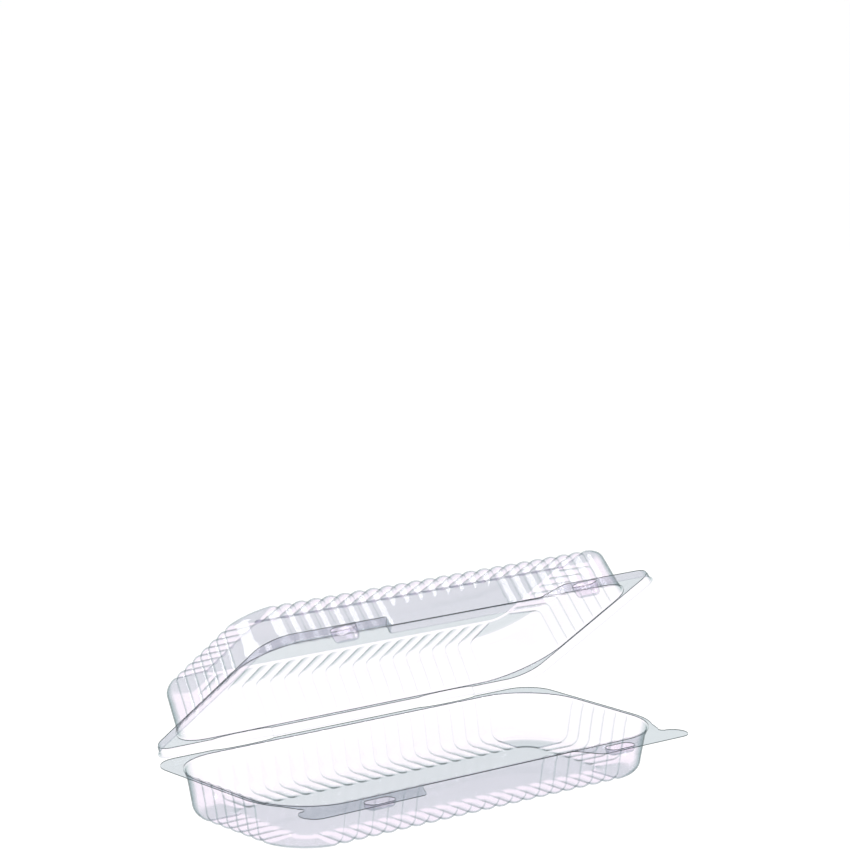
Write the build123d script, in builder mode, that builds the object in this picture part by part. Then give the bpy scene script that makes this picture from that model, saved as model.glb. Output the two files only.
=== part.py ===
from build123d import *
from math import cos, radians, sin, tan
import os

# Clear fluted clamshell pack: a base tray and a lid, thermoformed as one sheet and folded at a
# living hinge along the long rear side.  Millimetres, +Z up, +X along the hinge, +Y towards it.
# The origin is the middle of the tray's flat underside.  The lid stands part open.

# Sheet and flutes
sheet = 0.45             # thickness of the formed sheet
flute_pitch = 9.2        # cusp to cusp along the long walls
flute_depth = 1.5        # crest to cusp, the flutes bulge outwards

# Wall plan, measured over the crests at the rims
long_flutes = 20         # flutes along the rear wall
base_end_flutes = 5
lid_end_flutes = 6
rear_radius = 35.0       # corner radius of both shells at the hinge side
base_front_radius = 35.0
lid_front_radius = 26.0
mouth_depth = 114.0      # front to rear, crest to crest
plain_from, plain_to = 5, 14    # the front walls are smooth between these two cusps

# Heights and drafts
base_height = 24.5       # underside to the top of the tray's rim
base_draft = 10.0        # degrees
base_foot_radius = 7.0
lid_height = 30.0        # lid rim to the outside of its roof panel
lid_draft = 5.5          # degrees
lid_edge_radius = 4.5
roof_inset = 26.0        # crest line to the roof panel's edge
roof_rise = 1.3          # the roof panel stands this much above the fluted edge

# Rims
rim_lip = 3.5            # flange beyond the end walls
front_lip = 1.6          # flange beyond the smooth front wall
shoulder_reach = 15.5    # flange beyond the front wall at the two shoulders
hinge_gap = 5.4          # rear wall crest to the fold line
rim_corner = 17.0        # corner radius of the lid's rim
shoulder_step = 8.2      # half the width of each S-shaped step, along X
left_step_x = -51.0      # middle of the left step
right_step_x = 59.0
skirt_height = 5.6       # the lid's raised band above its rim
skirt_lip = 1.3          # rim beyond the band

# Round notches beside the finger tabs, on the base only
notch_radius = 3.2
notch_in = 8.5           # notch centre from the rim's end
notch_back = 18.5        # notch centre behind the tabs' front edge

# Snap locks: cups in the tabs, buttons under the lid's shoulders
lock_x = 80.0            # each lock from the middle
lock_setback = 6.6       # lock centre behind the shoulder's front edge
cup_length, cup_width = 18.0, 8.4
cup_depth = 3.4
lock_clearance = 0.8     # between a button and its cup, all round
button_reach = 2.6       # how far a button passes below the lid's rim

# Fold
fold_gap = 0.3           # between the two rims when the pack is shut
fold_clearance = 0.3     # each rim's edge from the fold line
window_length = 38.0     # lens-shaped openings on the fold
window_half_width = 2.2
window_x = 69.0
open_angle = 37.3        # how far the lid stands open, degrees

# Worked out from the above
run_length = long_flutes * flute_pitch
mouth_length = run_length + 2 * rear_radius
rear_y = mouth_depth / 2
front_y = -mouth_depth / 2
rim_half = mouth_length / 2 + rim_lip
fold_y = rear_y + hinge_gap
shoulder_y = front_y - shoulder_reach
lip_y = front_y - front_lip
fold_axis_z = base_height + fold_gap / 2


def flute_edges(start, along, outward, count, pitch, plain=range(0)):
    """Edges of one fluted side, from its first cusp; cusps inside a plain run lie on the crest line."""
    def cusp(i):
        depth = 0 if i - 1 in plain and i in plain else flute_depth
        return start + along * (i * pitch) - outward * depth
    edges = []
    for i in range(count):
        crest = start + along * ((i + 0.5) * pitch)
        if i in plain:
            edges.append(Edge.make_line(cusp(i), cusp(i + 1)))
        else:
            edges.append(Edge.make_three_point_arc(cusp(i), crest, cusp(i + 1)))
    return edges


def wall_outline(inset, front_radius, end_flutes, plain_front=True):
    """Closed fluted outline of a wall at one height, inset from the crest line at the rim."""
    crest_x, back, front = mouth_length / 2 - inset, rear_y - inset, front_y + inset
    end_run = mouth_depth - rear_radius - front_radius
    end_pitch = end_run / end_flutes
    extra = round((rear_radius - front_radius) / flute_pitch)
    front_count = long_flutes + 2 * extra
    front_start = -front_count * flute_pitch / 2
    plain = range(plain_from + extra, plain_to + extra) if plain_front else range(0)
    ahead, left, out_right = Vector(1, 0, 0), Vector(-1, 0, 0), Vector(0, 1, 0)
    end_top, end_low = rear_y - rear_radius, front_y + front_radius
    sides = [
        flute_edges(Vector(run_length / 2, back), left, out_right, long_flutes, flute_pitch),
        flute_edges(Vector(-crest_x, end_top), -out_right, left, end_flutes, end_pitch),
        flute_edges(Vector(front_start, front), ahead, -out_right, front_count, flute_pitch, plain),
        flute_edges(Vector(crest_x, end_low), out_right, ahead, end_flutes, end_pitch),
    ]
    radii = [rear_radius, front_radius, front_radius, rear_radius]
    turns = [(-1, 1), (-1, -1), (1, -1), (1, 1)]
    edges = []
    for side, radius, (sign_x, sign_y) in zip(sides, radii, turns):
        edges += side
        centre_x = sign_x * (mouth_length / 2 - radius)
        centre_y = rear_y - radius if sign_y > 0 else front_y + radius
        middle = Vector(centre_x, centre_y) + Vector(sign_x, sign_y).normalized() * (radius - inset)
        following = sides[(sides.index(side) + 1) % 4]
        edges.append(Edge.make_three_point_arc(side[-1] @ 1, middle, following[0] @ 0))
    return edges


def wall_levels(height, draft, radius, thickness):
    """(height above the closed end, inset, plain front) from the rim to the closed end."""
    grown = thickness / cos(radians(draft))
    slope = tan(radians(draft))
    foot_inset = (height - radius) * slope
    levels = [(height + thickness * 3, grown - thickness * 3 * slope, True)]
    if thickness == 0:
        levels = [(height, 0.0, True)]
    levels.append((radius, foot_inset + grown, True))
    for turn in (45, 90):
        inset = foot_inset + radius - (radius - thickness) * cos(radians(turn))
        level = radius - (radius - thickness) * sin(radians(turn))
        levels.append((level, inset, False))
    return levels


def rim_outline(inset):
    """Closed outline of a rim: straight rear, two shoulders at the front with S-shaped steps."""
    half, corner = rim_half - inset, rim_corner - inset
    back, front, lip = fold_y - inset, shoulder_y + inset, lip_y + inset
    points = [
        (-half, back), (-half, front),
        (left_step_x - shoulder_step / 2 + inset, front), (left_step_x + shoulder_step / 2 + inset, lip),
        (right_step_x - shoulder_step / 2 - inset, lip), (right_step_x + shoulder_step / 2 - inset, front),
        (half, front), (half, back),
    ]
    radii = [corner, corner, 4, 4, 4, 4, corner, corner]
    return points, radii


def rim_plate(plane, inset, thickness):
    """Solid plate of the rim's outline, standing on a plane."""
    points, radii = rim_outline(inset)
    with BuildPart(mode=Mode.PRIVATE) as plate:
        with BuildSketch(plane):
            with BuildLine():
                FilletPolyline(*points, radius=radii, close=True)
            make_face()
        extrude(amount=thickness)
    return plate.part


def fluted_solid(plane_at, levels, front_radius, end_flutes):
    """Solid inside a fluted wall; plane_at gives the sketch plane at each level."""
    with BuildPart(mode=Mode.PRIVATE) as body:
        for level, inset, plain_front in levels:
            with BuildSketch(plane_at(level)):
                with BuildLine():
                    add(wall_outline(inset, front_radius, end_flutes, plain_front))
                make_face()
        loft(ruled=True)
    return body.part


def roof_cap(plane, thickness):
    """Low raised roof panel with sloping sides."""
    edge = roof_inset + 0.6 * thickness
    sides = (mouth_length - 2 * edge, mouth_depth - 2 * edge)
    with BuildPart(mode=Mode.PRIVATE) as cap:
        with BuildSketch(plane):
            RectangleRounded(*sides, radius=rear_radius - edge)
        extrude(amount=roof_rise, taper=30)
    return cap.part


# The tray, its rim uppermost
def base_plane(level):
    return Plane.XY.offset(level)


rim_plane = Plane.XY.offset(base_height)
cup_floor = base_height - cup_depth

with BuildPart() as base_tray:
    add(fluted_solid(base_plane, wall_levels(base_height, base_draft, base_foot_radius, 0),
                     base_front_radius, base_end_flutes))
    add(rim_plate(rim_plane.offset(-sheet), fold_clearance, sheet))
    with BuildSketch(Plane.XY.offset(cup_floor - sheet)):
        with Locations((-lock_x, shoulder_y + lock_setback), (lock_x, shoulder_y + lock_setback)):
            SlotOverall(cup_length, cup_width)
    extrude(amount=cup_depth)
    add(fluted_solid(base_plane, wall_levels(base_height, base_draft, base_foot_radius, sheet),
                     base_front_radius, base_end_flutes), mode=Mode.SUBTRACT)
    with BuildSketch(Plane.XY.offset(cup_floor)):
        with Locations((-lock_x, shoulder_y + lock_setback), (lock_x, shoulder_y + lock_setback)):
            SlotOverall(cup_length - 2 * sheet, cup_width - 2 * sheet)
    extrude(amount=cup_depth + sheet, mode=Mode.SUBTRACT)
    # Openings on the fold, and the round notches that free the finger tabs
    with BuildSketch(rim_plane.offset(-2 * sheet)):
        with Locations((-window_x, fold_y), (window_x, fold_y)):
            Ellipse(window_length / 2, window_half_width)
        for side in (-1, 1):
            with Locations((side * (rim_half - notch_in), shoulder_y + notch_back)):
                Circle(notch_radius)
            with Locations((side * rim_half, shoulder_y + notch_back)):
                Rectangle(2 * notch_in, notch_radius)
    extrude(amount=4 * sheet, mode=Mode.SUBTRACT)

# The lid, drawn shut on the tray and then turned open about the fold
lid_rim_z = base_height + fold_gap
roof_height = lid_height - roof_rise
button_length = cup_length - 2 * (sheet + lock_clearance)
button_width = cup_width - 2 * (sheet + lock_clearance)


def lid_plane(level):
    return Plane.XY.offset(lid_rim_z + roof_height - level)


with BuildPart() as shut_lid:
    add(fluted_solid(lid_plane, wall_levels(roof_height, lid_draft, lid_edge_radius, 0),
                     lid_front_radius, lid_end_flutes))
    add(roof_cap(lid_plane(0), 0))
    add(rim_plate(lid_plane(roof_height), fold_clearance, sheet))
    add(rim_plate(lid_plane(roof_height), skirt_lip, skirt_height))
    with Locations((0, 0, lid_rim_z - 1)):
        add(rim_plate(Plane.XY, skirt_lip + sheet, skirt_height + 1 - sheet), mode=Mode.SUBTRACT)
    add(fluted_solid(lid_plane, wall_levels(roof_height, lid_draft, lid_edge_radius, sheet),
                     lid_front_radius, lid_end_flutes), mode=Mode.SUBTRACT)
    add(roof_cap(lid_plane(sheet), sheet), mode=Mode.SUBTRACT)
    with BuildSketch(Plane.XY.offset(lid_rim_z - button_reach)):
        with Locations((-lock_x, shoulder_y + lock_setback), (lock_x, shoulder_y + lock_setback)):
            SlotOverall(button_length, button_width)
    extrude(amount=skirt_height + button_reach)
    with BuildSketch(Plane.XY.offset(lid_rim_z - button_reach + sheet)):
        with Locations((-lock_x, shoulder_y + lock_setback), (lock_x, shoulder_y + lock_setback)):
            SlotOverall(button_length - 2 * sheet, button_width - 2 * sheet)
    extrude(amount=skirt_height + button_reach + 1, mode=Mode.SUBTRACT)
    with BuildSketch(Plane.XY.offset(lid_rim_z - sheet)):
        with Locations((-window_x, fold_y), (window_x, fold_y)):
            Ellipse(window_length / 2, window_half_width)
    extrude(amount=skirt_height + 2 * sheet, mode=Mode.SUBTRACT)

fold_axis = Axis((0, fold_y, fold_axis_z), (-1, 0, 0))
with BuildPart() as lid:
    add(shut_lid.part.rotate(fold_axis, open_angle))

base_tray.part.label = "base_tray"
lid.part.label = "lid"
os.makedirs("parts", exist_ok=True)
export_step(base_tray.part, "parts/base_tray.step")
export_step(lid.part, "parts/lid.step")
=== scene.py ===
"""Clear fluted clamshell pack: formed sheets, rims, locks and a plain studio."""
from math import cos, pi, radians, sin, tan

import bmesh
import bpy
from bpy.props import FloatProperty, FloatVectorProperty, PointerProperty
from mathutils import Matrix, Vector


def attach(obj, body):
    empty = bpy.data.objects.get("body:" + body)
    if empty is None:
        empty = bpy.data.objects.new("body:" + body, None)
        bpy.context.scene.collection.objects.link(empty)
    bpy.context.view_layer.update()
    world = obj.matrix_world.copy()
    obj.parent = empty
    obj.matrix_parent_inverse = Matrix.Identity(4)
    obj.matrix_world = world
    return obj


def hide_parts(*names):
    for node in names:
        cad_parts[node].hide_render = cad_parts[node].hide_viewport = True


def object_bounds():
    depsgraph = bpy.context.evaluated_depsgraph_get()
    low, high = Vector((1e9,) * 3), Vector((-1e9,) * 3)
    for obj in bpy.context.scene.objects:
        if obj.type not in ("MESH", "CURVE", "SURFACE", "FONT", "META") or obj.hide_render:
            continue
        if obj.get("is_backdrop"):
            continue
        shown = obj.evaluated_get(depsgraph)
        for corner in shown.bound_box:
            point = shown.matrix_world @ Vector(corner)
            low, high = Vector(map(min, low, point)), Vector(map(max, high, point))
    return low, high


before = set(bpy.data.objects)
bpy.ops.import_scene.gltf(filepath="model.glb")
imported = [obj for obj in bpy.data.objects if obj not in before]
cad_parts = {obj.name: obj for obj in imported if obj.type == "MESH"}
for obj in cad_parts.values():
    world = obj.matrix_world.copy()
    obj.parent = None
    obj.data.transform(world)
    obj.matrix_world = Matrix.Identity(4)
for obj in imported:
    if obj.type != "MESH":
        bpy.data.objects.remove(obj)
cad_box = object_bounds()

bl_info = {
    "name": "Fluted clamshell pack",
    "version": (1, 0, 0),
    "blender": (4, 5, 0),
    "location": "3D View > Sidebar > Clamshell",
    "description": "Builds a clear fluted clamshell pack and a plain studio",
    "category": "Add Mesh",
}

MM = 0.001

# Plan of the walls, over their crests, in millimetres
FLUTE_PITCH = 9.2
LONG_FLUTES = 20
MOUTH_LENGTH = 254.0
MOUTH_DEPTH = 114.0
REAR_RADIUS = 35.0
REAR_Y = MOUTH_DEPTH / 2
FRONT_Y = -MOUTH_DEPTH / 2
LID_FRONT_RADIUS = 26.0
TRAY_END_FLUTES, LID_END_FLUTES = 5, 6
PLAIN_FROM, PLAIN_TO = 5, 14

# Sections: draft in degrees, edge radius, inset and rise of the middle panel
TRAY_DRAFT, TRAY_FOOT, FLOOR_INSET, FLOOR_RISE = 10.0, 7.0, 27.0, 1.1
LID_DRAFT, LID_EDGE, ROOF_INSET, ROOF_RISE = 5.5, 4.5, 26.0, 1.3

# Rims
RIM_HALF = 130.5
RIM_CORNER = 17.0
FOLD_Y = REAR_Y + 5.4
SHOULDER_Y = FRONT_Y - 15.5
LIP_Y = FRONT_Y - 1.6
LEFT_STEP_X, RIGHT_STEP_X = -51.0, 59.0
STEP_HALF = 5.6
BASE_HEIGHT = 24.5
LID_HEIGHT = 30.0
FOLD_GAP = 0.3
SKIRT_HEIGHT = 5.6
SKIRT_LIP = 1.3
LOCK_X = 80.0
LOCK_Y = SHOULDER_Y + 6.6
CUP_LENGTH, CUP_WIDTH, CUP_DEPTH = 18.0, 8.4, 3.6
BUTTON_LENGTH, BUTTON_WIDTH, BUTTON_REACH = 15.6, 6.2, 2.6
WINDOW_X = 69.0
WINDOW_HALF, WINDOW_DEPTH = 19.0, 2.2

OPEN_ANGLE = radians(37.3)

ARC_STEPS = 8            # points on each flute
CORNER_STEPS = 28


class SheetSettings(bpy.types.PropertyGroup):
    """Sizes and colours of the formed sheet; the slant and edge colours also hold painted shade."""

    thickness: FloatProperty(
        name="Thickness", description="Thickness of the sheet", default=0.0004, unit="LENGTH")
    flute_depth: FloatProperty(
        name="Flute depth", description="Crest to cusp", default=0.0015, unit="LENGTH")
    clear_tint: FloatVectorProperty(
        name="Clear tint", description="Light let through, seen square on",
        subtype="COLOR", size=3, default=(0.975, 0.958, 0.982))
    # Painted shade: the grey seen at a slant is partly the sheet's tint over a longer path and partly
    # painted shade for dark surroundings seen in the sheet.
    slant_tint_and_painted_shade: FloatVectorProperty(
        name="Slant tint", description="Light let through, seen at a slant",
        subtype="COLOR", size=3, default=(0.70, 0.76, 0.77))
    # Painted shade: the near-black teal seen along the sheet and on its cut edges is mostly painted shade,
    # with a little of the sheet's tint over a long path.
    edge_tint_and_painted_shade: FloatVectorProperty(
        name="Edge tint", description="Light let through, seen along the sheet",
        subtype="COLOR", size=3, default=(0.01, 0.05, 0.05))


class StudioSettings(bpy.types.PropertyGroup):
    """The studio's light."""

    lamp_power: FloatProperty(name="Lamp power", description="Watts of the main soft lamp", default=26.0)
    floor_glow: FloatProperty(
        name="Floor glow", description="How far the floor shows as plain white",
        default=0.8, subtype="FACTOR")


# ---------------------------------------------------------------- outlines

def flute_run(start, along, outward, count, pitch, plain=range(0)):
    """(point, outward, dip) along one fluted side; dip is 1 at a cusp and 0 on a crest.

    On the plain flutes dip is a (dip, "foot") pair, which shows on the foot only.
    """
    for i in range(count):
        for k in range(ARC_STEPS):
            share = k / ARC_STEPS
            dip = (2 * share - 1) ** 2
            if i in plain:
                edge = (i == plain[0] and share < 0.5) or (i == plain[-1] and share > 0.5)
                dip = dip if edge else (dip, "foot")
            yield start + along * ((i + share) * pitch), outward, dip
    yield start + along * (count * pitch), outward, 1.0


def corner_run(centre, radius, angle, pitch):
    """The smooth corner after a side, turning 90 degrees from an angle."""
    blend = 0.5 * pitch / radius
    for k in range(1, CORNER_STEPS):
        turn = radians(90) * k / CORNER_STEPS
        near = min(turn, radians(90) - turn)
        dip = max(0.0, 1 - near / blend) ** 2
        a = angle + turn
        out = Vector((cos(a), sin(a)))
        yield centre + out * radius, out, dip


def wall_plan(front_radius, end_flutes):
    """Closed list of (crest point, outward, dip), anticlockwise from the right end of the rear wall."""
    right, up = Vector((1, 0)), Vector((0, 1))
    half = MOUTH_LENGTH / 2
    end_pitch = (MOUTH_DEPTH - REAR_RADIUS - front_radius) / end_flutes
    extra = round((REAR_RADIUS - front_radius) / FLUTE_PITCH)
    front_count = LONG_FLUTES + 2 * extra
    rear_x, front_x = half - REAR_RADIUS, half - front_radius
    front_pitch = 2 * front_x / front_count
    plain = range(PLAIN_FROM + extra, PLAIN_TO + extra)
    top, low = REAR_Y - REAR_RADIUS, FRONT_Y + front_radius
    rear_pitch = 2 * rear_x / LONG_FLUTES
    points = list(flute_run(Vector((rear_x, REAR_Y)), -right, up, LONG_FLUTES, rear_pitch))
    points += corner_run(Vector((-rear_x, top)), REAR_RADIUS, pi / 2, FLUTE_PITCH)
    points += flute_run(Vector((-half, top)), -up, -right, end_flutes, end_pitch)
    points += corner_run(Vector((-front_x, low)), front_radius, pi, FLUTE_PITCH)
    points += flute_run(Vector((-front_x, FRONT_Y)), right, -up, front_count, front_pitch, plain)
    points += corner_run(Vector((front_x, low)), front_radius, 1.5 * pi, FLUTE_PITCH)
    points += flute_run(Vector((half, low)), up, right, end_flutes, end_pitch)
    points += corner_run(Vector((rear_x, top)), REAR_RADIUS, 0, FLUTE_PITCH)
    return points


def wall_profile(height, draft, radius, panel_inset, panel_rise):
    """(inset, level, cos and sin of the outward tilt, flute share, on the foot) from rim to panel."""
    slope = tan(radians(draft))
    lip = 1.0
    rows = []
    for k in range(4):
        a = radians(90 - 30 * k)
        rows.append((-lip + lip * cos(a), height - lip * (1 - sin(a)), 1, 0, 0.35 + 0.2 * k, False))
    rows.append((0.0, height - 2.5 * lip, 1, 0, 1.0, False))
    for k in range(1, 5):
        level = height - (height - radius) * k / 4
        rows.append(((height - level) * slope, level, 1, 0, 1.0, k == 4))
    base_inset = (height - radius) * slope
    for k in range(1, 9):
        a = radians(90) * k / 8
        rows.append((base_inset + radius * (1 - cos(a)), radius * (1 - sin(a)), cos(a), sin(a), 1.0, True))
    start = base_inset + radius
    for k in range(1, 5):
        share = k / 4
        inset = start + (panel_inset - 1.2 - start) * share
        rows.append((inset, panel_rise * 0.3 * share, 0, 1, 1.0 - 0.25 * share, True))
    rows.append((panel_inset, panel_rise, 0, 1, 0.0, True))
    rows.append((panel_inset + 2, panel_rise, 0, 1, 0.0, True))
    return rows


def rim_outline(inset, tabs=False):
    """Closed outline of a rim as points, anticlockwise from the rear right corner."""
    half, back, front, lip = RIM_HALF - inset, FOLD_Y - inset, SHOULDER_Y + inset, LIP_Y + inset
    corner = RIM_CORNER - inset
    points = []

    def arc(x, y, radius, first, last, steps=14):
        for k in range(steps + 1):
            a = radians(first + (last - first) * k / steps)
            points.append(Vector((x + radius * cos(a), y + radius * sin(a))))

    def fold_bow(centre):
        for k in range(17):
            a = pi * k / 16
            points.append(Vector((centre + WINDOW_HALF * cos(a), back - WINDOW_DEPTH * sin(a))))

    def step(x, first, last):
        for k in range(17):
            share = k / 16
            ease = share * share * (3 - 2 * share)
            points.append(Vector((x + STEP_HALF * (2 * share - 1), first + (last - first) * ease)))

    arc(half - corner, back - corner, corner, 0, 90)
    fold_bow(WINDOW_X)
    fold_bow(-WINDOW_X)
    arc(-half + corner, back - corner, corner, 90, 180)
    if tabs:
        arc(-MOUTH_LENGTH / 2 + REAR_RADIUS, FRONT_Y + REAR_RADIUS, REAR_RADIUS + 3.2, 180, 214)
        notch_x, notch_y = -half + 9.0, SHOULDER_Y + 18.0
        arc(notch_x, notch_y, 2.6, 60, -90, 10)
        arc(-half + 11.0, SHOULDER_Y + 8.0, 8.0, 110, 270, 14)
    else:
        arc(-half + corner, front + corner, corner, 180, 270)
    step(LEFT_STEP_X, front, lip)
    step(RIGHT_STEP_X, lip, front)
    if tabs:
        arc(half - 11.0, SHOULDER_Y + 8.0, 8.0, -90, 70, 14)
        arc(half - 9.0, notch_y, 2.6, 270, 120, 10)
        arc(MOUTH_LENGTH / 2 - REAR_RADIUS, FRONT_Y + REAR_RADIUS, REAR_RADIUS + 3.2, -34, 0)
    else:
        arc(half - corner, front + corner, corner, 270, 360)
    return points


# ---------------------------------------------------------------- meshes

def join_rings(mesh, rings):
    """Faces between each closed ring of points and the next."""
    count = len(rings[0])
    for above, below in zip(rings, rings[1:]):
        for i in range(count):
            j = (i + 1) % count
            mesh.faces.new((above[i], above[j], below[j], below[i]))


def shell_mesh(plan, profile, depth, place):
    """Formed wall and panel as one open skin; place turns (x, y, level) into the row's metres."""
    mesh = bmesh.new()
    rings = []
    for inset, level, tilt_xy, tilt_z, share, on_foot in profile:
        ring = []
        for crest, outward, dip in plan:
            if isinstance(dip, tuple):
                dip = dip[0] if on_foot else 0.0
            sink = depth * dip * share
            xy = crest - outward * (inset + sink * tilt_xy)
            ring.append(mesh.verts.new(place(xy.x, xy.y, level + sink * tilt_z)))
        rings.append(ring)
    join_rings(mesh, rings)
    mesh.faces.new(rings[-1])
    bmesh.ops.remove_doubles(mesh, verts=mesh.verts, dist=1e-6)
    bmesh.ops.recalc_face_normals(mesh, faces=mesh.faces)
    return mesh


def plate_mesh(outlines, low, high, place):
    """Flat plate between two levels, bounded by one outline and holes."""
    curve = bpy.data.curves.new("plate", "CURVE")
    curve.dimensions = "2D"
    curve.fill_mode = "BOTH"
    curve.extrude = (high - low) / 2
    for outline in outlines:
        spline = curve.splines.new("POLY")
        spline.points.add(len(outline) - 1)
        for point, xy in zip(spline.points, outline):
            point.co = (xy.x, xy.y, 0, 1)
        spline.use_cyclic_u = True
    holder = bpy.data.objects.new("plate", curve)
    bpy.context.collection.objects.link(holder)
    graph = bpy.context.evaluated_depsgraph_get()
    flat = bpy.data.meshes.new_from_object(holder.evaluated_get(graph))
    bpy.data.objects.remove(holder)
    mesh = bmesh.new()
    mesh.from_mesh(flat)
    mesh.normal_update()
    # Side faces of the plate, seen edge-on, are marked here for the painted edge shade.
    edge_shade_mask = mesh.faces.layers.float.new("cut_edge_painted_shade")
    for face in mesh.faces:
        face[edge_shade_mask] = 0.0 if abs(face.normal.z) > 0.5 else 1.0
    for vert in mesh.verts:
        vert.co = place(vert.co.x, vert.co.y, vert.co.z + (low + high) / 2)
    bmesh.ops.remove_doubles(mesh, verts=mesh.verts, dist=1e-6)
    bmesh.ops.recalc_face_normals(mesh, faces=mesh.faces)
    return mesh


def band_mesh(outline, rows, place):
    """Strip that follows an outline; rows are (inset, level)."""
    mesh = bmesh.new()
    rings = []
    for inset, level in rows:
        ring = [mesh.verts.new(place(p.x, p.y, level)) for p in outline(inset)]
        rings.append(ring)
    join_rings(mesh, rings)
    bmesh.ops.remove_doubles(mesh, verts=mesh.verts, dist=1e-6)
    bmesh.ops.recalc_face_normals(mesh, faces=mesh.faces)
    return mesh


def slot_outline(x, y, length, width):
    """Closed slot outline."""
    points = []
    radius = width / 2
    for centre, first in ((x + length / 2 - radius, -90), (x - length / 2 + radius, 90)):
        for k in range(13):
            a = radians(first + 15 * k)
            points.append(Vector((centre + radius * cos(a), y + radius * sin(a))))
    return points


def cup_mesh(x, y, length, width, top, bottom, place):
    """Thin slot-shaped cup, open at its top level."""
    mesh = bmesh.new()
    rings = []
    for k in range(8):
        share = k / 7
        inset = 1.6 * share ** 3
        level = top + (bottom - top) * min(1.0, 1.25 * share - 0.25 * share ** 4)
        outline = slot_outline(x, y, length - 2 * inset, width - 2 * inset)
        rings.append([mesh.verts.new(place(p.x, p.y, level)) for p in outline])
    join_rings(mesh, rings)
    mesh.faces.new(rings[-1])
    bmesh.ops.recalc_face_normals(mesh, faces=mesh.faces)
    return mesh


def finish_piece(name, mesh, body, material, node=None, thickness=None):
    """Link a mesh as a piece of a body."""
    data = bpy.data.meshes.new(name)
    mesh.to_mesh(data)
    mesh.free()
    data.materials.append(material)
    piece = bpy.data.objects.new(name, data)
    bpy.context.collection.objects.link(piece)
    if thickness:
        solid = piece.modifiers.new("sheet", "SOLIDIFY")
        solid.thickness = thickness
        solid.offset = -1.0
        graph = bpy.context.evaluated_depsgraph_get()
        wall = bpy.data.meshes.new_from_object(piece.evaluated_get(graph))
        piece.modifiers.clear()
        piece.data = wall
    piece.data.shade_smooth()
    piece.data.set_sharp_from_angle(angle=radians(32))
    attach(piece, body)
    if node:
        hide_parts(node)
    return piece


# ---------------------------------------------------------------- places

def tray_place(x, y, level):
    return Vector((x * MM, y * MM, level * MM))


def lid_place_for(angle):
    """Placing function for the lid: level 0 is its rim, levels rise towards its roof."""
    fold_z = BASE_HEIGHT + FOLD_GAP / 2

    def place(x, y, level):
        away, rise = y - FOLD_Y, level + FOLD_GAP / 2
        return Vector((
            x * MM,
            (FOLD_Y + away * cos(angle) + rise * sin(angle)) * MM,
            (fold_z - away * sin(angle) + rise * cos(angle)) * MM))
    return place


# ---------------------------------------------------------------- material

def clear_sheet_material(settings):
    """Clear glossy plastic: nearly clear square on. Grey at a slant and dark teal along the sheet are the
    sheet's tint over a longer path together with painted shade for the dark surroundings seen in the
    sheet.
    """
    material = bpy.data.materials.new("clear_sheet")
    material.use_nodes = True
    nodes, links = material.node_tree.nodes, material.node_tree.links
    nodes.clear()
    output = nodes.new("ShaderNodeOutputMaterial")
    mix = nodes.new("ShaderNodeMixShader")
    clear = nodes.new("ShaderNodeBsdfTransparent")
    gloss = nodes.new("ShaderNodeBsdfGlossy")
    gloss.inputs["Roughness"].default_value = 0.04
    weight = nodes.new("ShaderNodeLayerWeight")
    weight.inputs["Blend"].default_value = 0.5
    # Colour let through by facing: clear square on, then painted shade mixed with the sheet's tint, grey
    # at a slant and near-black teal along the sheet.
    ramp = nodes.new("ShaderNodeValToRGB")
    stops = ramp.color_ramp
    stops.elements[0].position, stops.elements[0].color = 0.0, (*settings.clear_tint, 1)
    stops.elements[1].position, stops.elements[1].color = 1.0, (*settings.edge_tint_and_painted_shade, 1)
    for position, colour in ((0.55, settings.clear_tint), (0.86, settings.slant_tint_and_painted_shade)):
        stops.elements.new(position).color = (*colour, 1)
    grazing = nodes.new("ShaderNodeMath")
    grazing.operation = "POWER"
    grazing.inputs[1].default_value = 4.0
    shine = nodes.new("ShaderNodeMath")
    shine.operation = "MULTIPLY_ADD"
    shine.inputs[1].default_value = 0.16
    shine.inputs[2].default_value = 0.03
    texture = nodes.new("ShaderNodeTexCoord")
    noise = nodes.new("ShaderNodeTexNoise")
    noise.inputs["Scale"].default_value = 28.0
    noise.inputs["Detail"].default_value = 2.0
    bump = nodes.new("ShaderNodeBump")
    bump.inputs["Strength"].default_value = 0.12
    bump.inputs["Distance"].default_value = 0.0008
    links.new(texture.outputs["Object"], noise.inputs["Vector"])
    links.new(noise.outputs["Fac"], bump.inputs["Height"])
    links.new(bump.outputs["Normal"], gloss.inputs["Normal"])
    links.new(bump.outputs["Normal"], weight.inputs["Normal"])
    links.new(weight.outputs["Facing"], ramp.inputs["Fac"])
    # Cut edges of the plates take the edge colour: painted shade with a little of the sheet's tint.
    edge_shade_mask = nodes.new("ShaderNodeAttribute")
    edge_shade_mask.attribute_name = "cut_edge_painted_shade"
    tint = nodes.new("ShaderNodeMix")
    tint.data_type = "RGBA"
    tint.inputs["B"].default_value = (*settings.edge_tint_and_painted_shade, 1)
    links.new(edge_shade_mask.outputs["Fac"], tint.inputs["Factor"])
    links.new(ramp.outputs["Color"], tint.inputs["A"])
    links.new(tint.outputs["Result"], clear.inputs["Color"])
    links.new(weight.outputs["Facing"], grazing.inputs[0])
    links.new(grazing.outputs[0], shine.inputs[0])
    links.new(shine.outputs[0], mix.inputs["Fac"])
    links.new(clear.outputs["BSDF"], mix.inputs[1])
    links.new(gloss.outputs["BSDF"], mix.inputs[2])
    links.new(mix.outputs["Shader"], output.inputs["Surface"])
    return material


def sheet_material():
    found = bpy.data.materials.get("clear_sheet_with_painted_shade")
    if not found:
        found = clear_sheet_material(bpy.context.scene.sheet_settings)
        found.name = "clear_sheet_with_painted_shade"
    return found


# ---------------------------------------------------------------- operators

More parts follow.
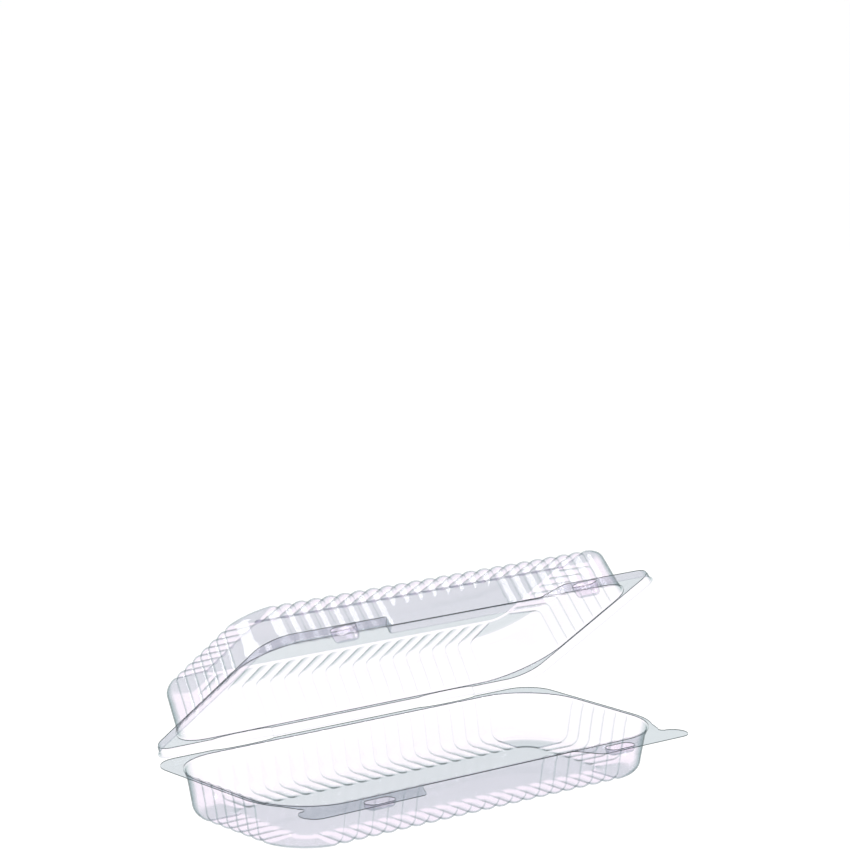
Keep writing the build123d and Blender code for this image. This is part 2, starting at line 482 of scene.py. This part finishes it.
class CLAMSHELL_OT_tray(bpy.types.Operator):
    """Build the fluted tray with its rim, tabs and lock cups"""
    bl_idname = "clamshell.tray"
    bl_label = "Tray"

    def execute(self, context):
        settings = context.scene.sheet_settings
        material = sheet_material()
        depth, sheet = settings.flute_depth / MM, settings.thickness / MM
        plan = wall_plan(REAR_RADIUS, TRAY_END_FLUTES)
        profile = wall_profile(BASE_HEIGHT, TRAY_DRAFT, TRAY_FOOT, FLOOR_INSET, FLOOR_RISE)
        wall = shell_mesh(plan, profile, depth, tray_place)
        finish_piece("tray_wall", wall, "tray", material, "base_tray", settings.thickness)
        mouth = [crest + out * 1.0 for crest, out, dip in plan]
        holes = [slot_outline(x, LOCK_Y, CUP_LENGTH, CUP_WIDTH) for x in (-LOCK_X, LOCK_X)]
        outlines = [rim_outline(0.3, tabs=True), mouth] + holes
        rim = plate_mesh(outlines, BASE_HEIGHT - sheet, BASE_HEIGHT, tray_place)
        finish_piece("tray_rim", rim, "tray", material)
        for side, x in (("left", -LOCK_X), ("right", LOCK_X)):
            floor = BASE_HEIGHT - CUP_DEPTH
            cup = cup_mesh(x, LOCK_Y, CUP_LENGTH, CUP_WIDTH, BASE_HEIGHT, floor, tray_place)
            finish_piece("tray_cup_" + side, cup, "tray", material, None, settings.thickness)
        return {"FINISHED"}


class CLAMSHELL_OT_lid(bpy.types.Operator):
    """Build the fluted lid with its raised band, rim and lock buttons"""
    bl_idname = "clamshell.lid"
    bl_label = "Lid"

    def execute(self, context):
        settings = context.scene.sheet_settings
        material = sheet_material()
        depth, sheet = settings.flute_depth / MM, settings.thickness / MM
        place = lid_place_for(OPEN_ANGLE)
        plan = wall_plan(LID_FRONT_RADIUS, LID_END_FLUTES)
        wall_height = LID_HEIGHT - SKIRT_HEIGHT
        rows = wall_profile(wall_height, LID_DRAFT, LID_EDGE, ROOF_INSET, -ROOF_RISE)
        profile = [(inset + 0.6, *rest) for inset, *rest in rows]

        def roofed(x, y, level):
            return place(x, y, LID_HEIGHT - ROOF_RISE - level)
        wall = shell_mesh(plan, profile, depth, roofed)
        finish_piece("lid_wall", wall, "cover", material, "lid", settings.thickness)
        mouth = [crest + out * 0.4 for crest, out, dip in plan]
        shelf_level = SKIRT_HEIGHT - ROOF_RISE
        holes = [slot_outline(x, LOCK_Y, BUTTON_LENGTH, BUTTON_WIDTH) for x in (-LOCK_X, LOCK_X)]
        outlines = [rim_outline(SKIRT_LIP + 0.7), mouth] + holes
        shelf = plate_mesh(outlines, shelf_level, shelf_level + sheet, place)
        finish_piece("lid_shelf", shelf, "cover", material)
        skirt_rows = [
            (0.3, 0.2), (SKIRT_LIP - 0.3, 0.3), (SKIRT_LIP, 0.8),
            (SKIRT_LIP + 0.2, shelf_level - 0.6), (SKIRT_LIP + 0.7, shelf_level + sheet / 2)]
        skirt = band_mesh(rim_outline, skirt_rows, place)
        finish_piece("lid_band", skirt, "cover", material, None, settings.thickness)
        for side, x in (("left", -LOCK_X), ("right", LOCK_X)):
            button = cup_mesh(
                x, LOCK_Y, BUTTON_LENGTH, BUTTON_WIDTH, shelf_level, -BUTTON_REACH, place)
            finish_piece("lid_button_" + side, button, "cover", material, None, settings.thickness)
        return {"FINISHED"}


class CLAMSHELL_OT_studio(bpy.types.Operator):
    """Build the floor, lamps and camera"""
    bl_idname = "clamshell.studio"
    bl_label = "Studio"

    def execute(self, context):
        settings = context.scene.studio_settings
        scene = context.scene
        scene.view_settings.view_transform = "Standard"
        scene.cycles.transparent_max_bounces = 48
        self.floor(settings)
        self.world(scene)
        self.lamps(settings)
        camera = bpy.data.cameras.new("camera")
        camera.lens, camera.sensor_width, camera.clip_end = 140.11, 36.0, 200.0
        holder = bpy.data.objects.new("camera", camera)
        bpy.context.collection.objects.link(holder)
        holder.location = (-1.0558, -1.2968, 0.4821)
        elevation, azimuth = radians(9.7678), radians(39.2154)
        look = Vector((sin(azimuth) * cos(elevation), cos(azimuth) * cos(elevation), -sin(elevation)))
        holder.rotation_euler = look.to_track_quat("-Z", "Y").to_euler()
        scene.camera = holder
        return {"FINISHED"}

    def floor(self, settings):
        """Pale floor that shows almost white, with a small diffuse share mixed into its glow."""
        mesh = bmesh.new()
        bmesh.ops.create_grid(mesh, x_segments=1, y_segments=1, size=40.0)
        data = bpy.data.meshes.new("floor")
        mesh.to_mesh(data)
        mesh.free()
        floor = bpy.data.objects.new("floor", data)
        bpy.context.collection.objects.link(floor)
        material = bpy.data.materials.new("floor")
        material.use_nodes = True
        nodes, links = material.node_tree.nodes, material.node_tree.links
        diffuse = nodes["Principled BSDF"]
        diffuse.inputs["Base Color"].default_value = (0.86, 0.86, 0.86, 1)
        diffuse.inputs["Roughness"].default_value = 0.9
        glow = nodes.new("ShaderNodeEmission")
        glow.inputs["Strength"].default_value = 1.08
        path = nodes.new("ShaderNodeLightPath")
        seen = nodes.new("ShaderNodeMath")
        seen.operation = "MAXIMUM"
        share = nodes.new("ShaderNodeMath")
        share.operation = "MULTIPLY"
        share.inputs[1].default_value = settings.floor_glow
        mix = nodes.new("ShaderNodeMixShader")
        links.new(path.outputs["Is Camera Ray"], seen.inputs[0])
        links.new(path.outputs["Is Glossy Ray"], seen.inputs[1])
        links.new(seen.outputs[0], share.inputs[0])
        links.new(share.outputs[0], mix.inputs["Fac"])
        links.new(diffuse.outputs["BSDF"], mix.inputs[1])
        links.new(glow.outputs["Emission"], mix.inputs[2])
        links.new(mix.outputs["Shader"], nodes["Material Output"].inputs["Surface"])
        data.materials.append(material)
        floor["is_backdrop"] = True

    def world(self, scene):
        """White surroundings for the camera and for gloss, dimmer as light."""
        world = bpy.data.worlds.new("surroundings")
        scene.world = world
        world.use_nodes = True
        nodes, links = world.node_tree.nodes, world.node_tree.links
        back = nodes["Background"]
        back.inputs["Color"].default_value = (1, 1, 1, 1)
        path = nodes.new("ShaderNodeLightPath")
        either = nodes.new("ShaderNodeMath")
        either.operation = "MAXIMUM"
        level = nodes.new("ShaderNodeMapRange")
        level.inputs["To Min"].default_value = 0.8
        level.inputs["To Max"].default_value = 1.0
        links.new(path.outputs["Is Camera Ray"], either.inputs[0])
        links.new(path.outputs["Is Glossy Ray"], either.inputs[1])
        links.new(either.outputs[0], level.inputs["Value"])
        links.new(level.outputs["Result"], back.inputs["Strength"])

    def lamps(self, settings):
        """A large soft lamp above and a weaker one at the left."""
        for name, spot, size, power in (
                ("key", (0.5, -0.9, 1.4), 1.2, settings.lamp_power),
                ("fill", (-1.2, 0.3, 0.9), 0.8, settings.lamp_power / 2)):
            lamp = bpy.data.lights.new(name, "AREA")
            lamp.size, lamp.energy = size, power
            holder = bpy.data.objects.new(name, lamp)
            bpy.context.collection.objects.link(holder)
            holder.location = spot
            holder.rotation_euler = (-Vector(spot)).to_track_quat("-Z", "Y").to_euler()


class CLAMSHELL_PT_panel(bpy.types.Panel):
    """Lists the pieces and their settings"""
    bl_idname = "CLAMSHELL_PT_panel"
    bl_label = "Clamshell pack"
    bl_space_type = "VIEW_3D"
    bl_region_type = "UI"
    bl_category = "Clamshell"

    def draw(self, context):
        layout = self.layout
        for settings in (context.scene.sheet_settings, context.scene.studio_settings):
            for name in settings.bl_rna.properties.keys():
                if name not in ("rna_type", "name"):
                    layout.prop(settings, name)
        for operator in OPERATORS:
            layout.operator(operator.bl_idname)


OPERATORS = (CLAMSHELL_OT_studio, CLAMSHELL_OT_tray, CLAMSHELL_OT_lid)
CLASSES = (SheetSettings, StudioSettings) + OPERATORS + (CLAMSHELL_PT_panel,)


def register():
    for item in CLASSES:
        bpy.utils.register_class(item)
    bpy.types.Scene.sheet_settings = PointerProperty(type=SheetSettings)
    bpy.types.Scene.studio_settings = PointerProperty(type=StudioSettings)


def unregister():
    del bpy.types.Scene.studio_settings
    del bpy.types.Scene.sheet_settings
    for item in reversed(CLASSES):
        bpy.utils.unregister_class(item)


def plain(box):
    return [[round(float(v), 6) for v in corner] for corner in box]


def main():
    register()
    bpy.ops.clamshell.studio()
    bpy.ops.clamshell.tray()
    bpy.ops.clamshell.lid()
    {"cad": plain(cad_box), "visual": plain(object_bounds())}


if __name__ == "__main__":
    main()
